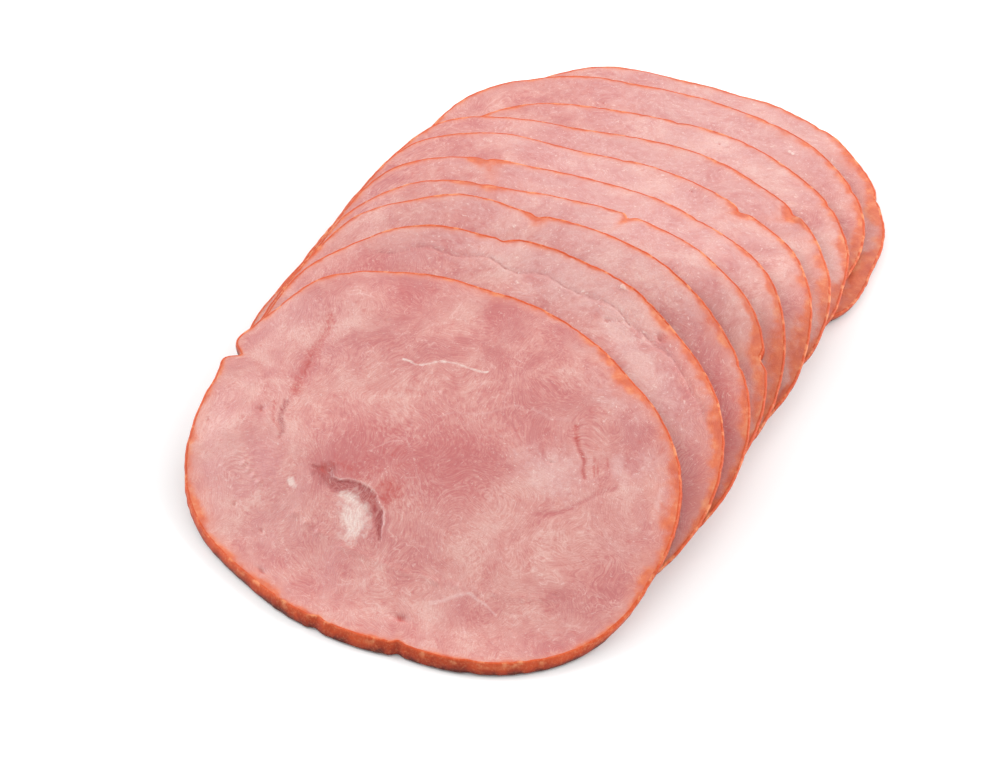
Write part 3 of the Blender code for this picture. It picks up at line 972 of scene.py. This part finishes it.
def meat_material():
    """Cut cured ham: soft bundles of fine fibres with rose, mauve and cream patches, moist on top, with white
    specks painted in as glints.
    """
    shader = Shader("cured_meat")
    ham = shader.attribute("ham", "Vector")
    swirl = warped(shader, ham, *SWIRL)
    finer = warped(shader, swirl, *SWIRL_FINER)

    cells = {"Vector": swirl, "Scale": BUNDLES}
    bundles = shader.add("ShaderNodeTexVoronoi", cells, "Color", feature="SMOOTH_F1")
    bundle = shader.add("ShaderNodeSeparateColor", {0: bundles}, "Red")
    tone = shader.add("ShaderNodeSeparateColor", {0: bundles}, "Green")
    turn = shader.math("MULTIPLY", bundle, math.pi)
    turned = shader.add("ShaderNodeVectorRotate", {"Vector": finer, "Angle": turn}, rotation_type="Z_AXIS")
    strands = shader.add("ShaderNodeVectorMath", {0: turned, 1: FIBRE_STRETCH}, operation="MULTIPLY")
    fibre = shader.noise(strands, *FIBRE_NOISE)
    mottle = shader.noise(finer, *MOTTLE_NOISE)
    cloud = shader.noise(swirl, *CLOUD_NOISE)
    cloud = shader.span(cloud, 0.2, 0.8, 0.29, 0.71)
    grain = shader.noise(ham, *GRAIN_NOISE)

    lightness = shader.math("ADD", cloud, shader.span(tone, 0.0, 1.0, -0.04, 0.04))
    lightness = shader.math("ADD", lightness, shader.span(mottle, 0.25, 0.75, -0.10, 0.10))
    lightness = shader.math("ADD", lightness, shader.span(fibre, 0.25, 0.75, -0.17, 0.17))
    colour = shader.ramp(lightness, paint_tones(MEAT_TONES, MEAT_LIGHT))
    wide_sheaths = thin_lines(shader, swirl, *SHEATH_WIDE)
    fine_sheaths = thin_lines(shader, finer, *SHEATH_FINE)
    sheaths = shader.math("ADD", wide_sheaths, fine_sheaths)
    sheaths = shader.math("MULTIPLY", sheaths, shader.span(mottle, 0.40, 0.60, 0.0, 0.5))
    colour = shader.mix(sheaths, colour, paint(SHEATH_COLOUR, MEAT_LIGHT))
    blotches = shader.span(shader.noise(finer, *BLOTCH_NOISE), 0.56, 0.70, 0.0, 0.5)
    colour = shader.mix(blotches, colour, paint(BLOTCH_COLOUR, MEAT_LIGHT))

    fine = shader.noise(finer, *RAGGED_NOISE)
    wobble = shader.span(mottle, 0.25, 0.75, -0.13, 0.13)
    ragged = shader.math("ADD", wobble, shader.span(fine, 0.3, 0.7, -0.15, 0.15))
    for tint, (low, high, greatest, tint_colour) in TINT_LOOKS.items():
        level = shader.attribute(tint)
        uneven = shader.math("MULTIPLY", ragged, shader.span(level, 0.02, 0.3))
        share = shader.span(shader.math("ADD", level, uneven), low, high, 0.0, greatest)
        veined = shader.mix(shader.span(fibre, 0.38, 0.62, 0.0, 0.5), paint(tint_colour, MEAT_LIGHT), colour)
        colour = shader.mix(share, colour, veined)

    # Painted glints: small white specks, strongest where the pale tint lies, painted in as highlights of the
    # moist face.
    painted_glints = shader.span(shader.noise(finer, *PAINTED_GLINT_NOISE), 0.57, 0.70, 0.0, 0.75)
    painted_glints = shader.math("MULTIPLY", painted_glints, shader.span(shader.attribute("pale"), 0.0, 0.5, 0.5, 1.0))
    colour = shader.mix(painted_glints, colour, paint(PAINTED_GLINT_COLOUR, MEAT_LIGHT))
    colour = shader.mix(shader.span(grain, 0.35, 0.65, 0.0, 0.22), colour, paint(GRAIN_COLOUR, MEAT_LIGHT))
    colour = rim_stain(shader, ham, colour)

    surface = shader.surface.inputs
    shader.put(surface["Base Color"], colour)
    shader.put(surface["Roughness"], shader.span(mottle, 0.3, 0.7, *MEAT_ROUGHNESS))
    surface["Subsurface Weight"].default_value = MEAT_SUBSURFACE
    surface["Subsurface Radius"].default_value = MEAT_SUBSURFACE_RADIUS
    surface["Subsurface Scale"].default_value = MEAT_SUBSURFACE_SCALE
    surface["Coat Weight"].default_value = MEAT_COAT
    surface["Coat Roughness"].default_value = MEAT_COAT_ROUGHNESS
    relief = shader.math("ADD", shader.math("MULTIPLY", fibre, 0.6), shader.math("MULTIPLY", grain, 0.4))
    relief = shader.math("ADD", relief, shader.math("MULTIPLY", mottle, 0.6))
    bump = shader.bump(relief, MEAT_BUMP)
    shader.put(surface["Normal"], bump)
    shader.put(surface["Coat Normal"], bump)
    return shader.material


def rind_material():
    """Smoked skin: orange-brown, darker low down with painted shade, finely wrinkled and a little glossy."""
    shader = Shader("smoked_rind")
    ham = shader.attribute("ham", "Vector")
    depth = shader.attribute("depth")
    patch = shader.noise(ham, *RIND_PATCH_NOISE)
    fine = shader.noise(ham, *RIND_FINE_NOISE)
    # Painted shade: the colour darkens towards the rind's foot.
    level = shader.math("ADD", depth, shader.span(patch, 0.30, 0.70, -0.26, 0.26))
    colour = shader.ramp(level, paint_tones(RIND_TONES, RIND_LIGHT))
    # Paler patches, stronger towards the rind's top edge.
    paler_top = shader.noise(ham, *RIND_PALE_TOP_NOISE)
    paler_top = shader.math("MULTIPLY", shader.span(paler_top, 0.50, 0.66), shader.span(depth, 0.45, 0.95, 0.0, 0.6))
    colour = shader.mix(paler_top, colour, paint(RIND_LIGHT_COLOUR, RIND_LIGHT))
    colour = shader.mix(shader.span(fine, 0.45, 0.80, 0.0, 0.3), colour, paint(RIND_LIGHT_COLOUR, RIND_LIGHT))
    surface = shader.surface.inputs
    shader.put(surface["Base Color"], colour)
    shader.put(surface["Roughness"], shader.span(fine, 0.3, 0.7, *RIND_ROUGHNESS))
    surface["Specular IOR Level"].default_value = RIND_SPECULAR
    surface["Subsurface Weight"].default_value = RIND_SUBSURFACE
    surface["Subsurface Radius"].default_value = RIND_SUBSURFACE_RADIUS
    surface["Subsurface Scale"].default_value = RIND_SUBSURFACE_SCALE
    relief = shader.math("ADD", patch, fine)
    shader.put(surface["Normal"], shader.bump(relief, RIND_BUMP))
    return shader.material


def floor_material():
    """A plain pale table."""
    shader = Shader("pale_table")
    shader.surface.inputs["Base Color"].default_value = FLOOR_COLOUR
    shader.surface.inputs["Roughness"].default_value = FLOOR_ROUGHNESS
    shader.surface.inputs["Specular IOR Level"].default_value = FLOOR_SPECULAR
    return shader.material


# ---- the set -----------------------------------------------------------------------------------------------


def make_camera():
    """A long lens that looks down at the row from its front right."""
    azimuth = math.radians(CAMERA_AZIMUTH)
    elevation = math.radians(CAMERA_ELEVATION)
    back = Vector((
        math.sin(azimuth) * math.cos(elevation),
        -math.cos(azimuth) * math.cos(elevation),
        math.sin(elevation),
    ))
    data = bpy.data.cameras.new("camera")
    data.lens = CAMERA_LENS
    data.sensor_width = SENSOR_WIDTH
    data.sensor_fit = "HORIZONTAL"
    camera = bpy.data.objects.new("camera", data)
    camera.location = Vector(CAMERA_TARGET) + CAMERA_DISTANCE * back
    camera.rotation_euler = (-back).to_track_quat("-Z", "Y").to_euler()
    bpy.context.scene.collection.objects.link(camera)
    bpy.context.scene.camera = camera


def make_softbox(name, place, power):
    """A square area light that faces the row."""
    data = bpy.data.lights.new(name, "AREA")
    data.shape = "SQUARE"
    data.size = SOFTBOX_SIZE
    data.energy = power
    light = bpy.data.objects.new(name, data)
    light.location = place
    light.rotation_euler = (-Vector(place)).to_track_quat("-Z", "Y").to_euler()
    bpy.context.scene.collection.objects.link(light)


def make_set():
    """The pale floor, the even room light and the softboxes."""
    world = bpy.data.worlds.new("room")
    world.use_nodes = True
    background = world.node_tree.nodes["Background"]
    background.inputs["Color"].default_value = (1.0, 1.0, 1.0, 1.0)
    background.inputs["Strength"].default_value = ROOM_LIGHT
    bpy.context.scene.world = world
    bpy.context.scene.view_settings.view_transform = "Standard"
    for softbox in SOFTBOXES:
        make_softbox(*softbox)
    bpy.ops.mesh.primitive_plane_add(size=FLOOR_SIZE, location=(0.0, 0.0, -FLOOR_DROP))
    floor = bpy.context.object
    floor.name = "floor"
    floor.data.materials.append(floor_material())


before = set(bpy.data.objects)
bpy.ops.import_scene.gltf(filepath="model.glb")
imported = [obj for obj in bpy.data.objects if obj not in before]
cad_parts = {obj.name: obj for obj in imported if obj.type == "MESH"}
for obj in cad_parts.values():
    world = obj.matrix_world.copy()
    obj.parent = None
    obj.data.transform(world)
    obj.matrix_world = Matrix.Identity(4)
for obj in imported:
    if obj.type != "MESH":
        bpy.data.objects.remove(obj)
cad_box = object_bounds()
make_camera()
make_set()
meat = meat_material()
rind = rind_material()
for number, shape in sorted(slice_shapes().items()):
    meat_node, rind_node = node_names(number)
    for piece, node, slot in (
        (make_meat(shape, meat), meat_node, "meat"),
        (make_rind(shape, rind), rind_node, "rind"),
    ):
        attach(piece, f"slice_{number:02d}")
        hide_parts(node)
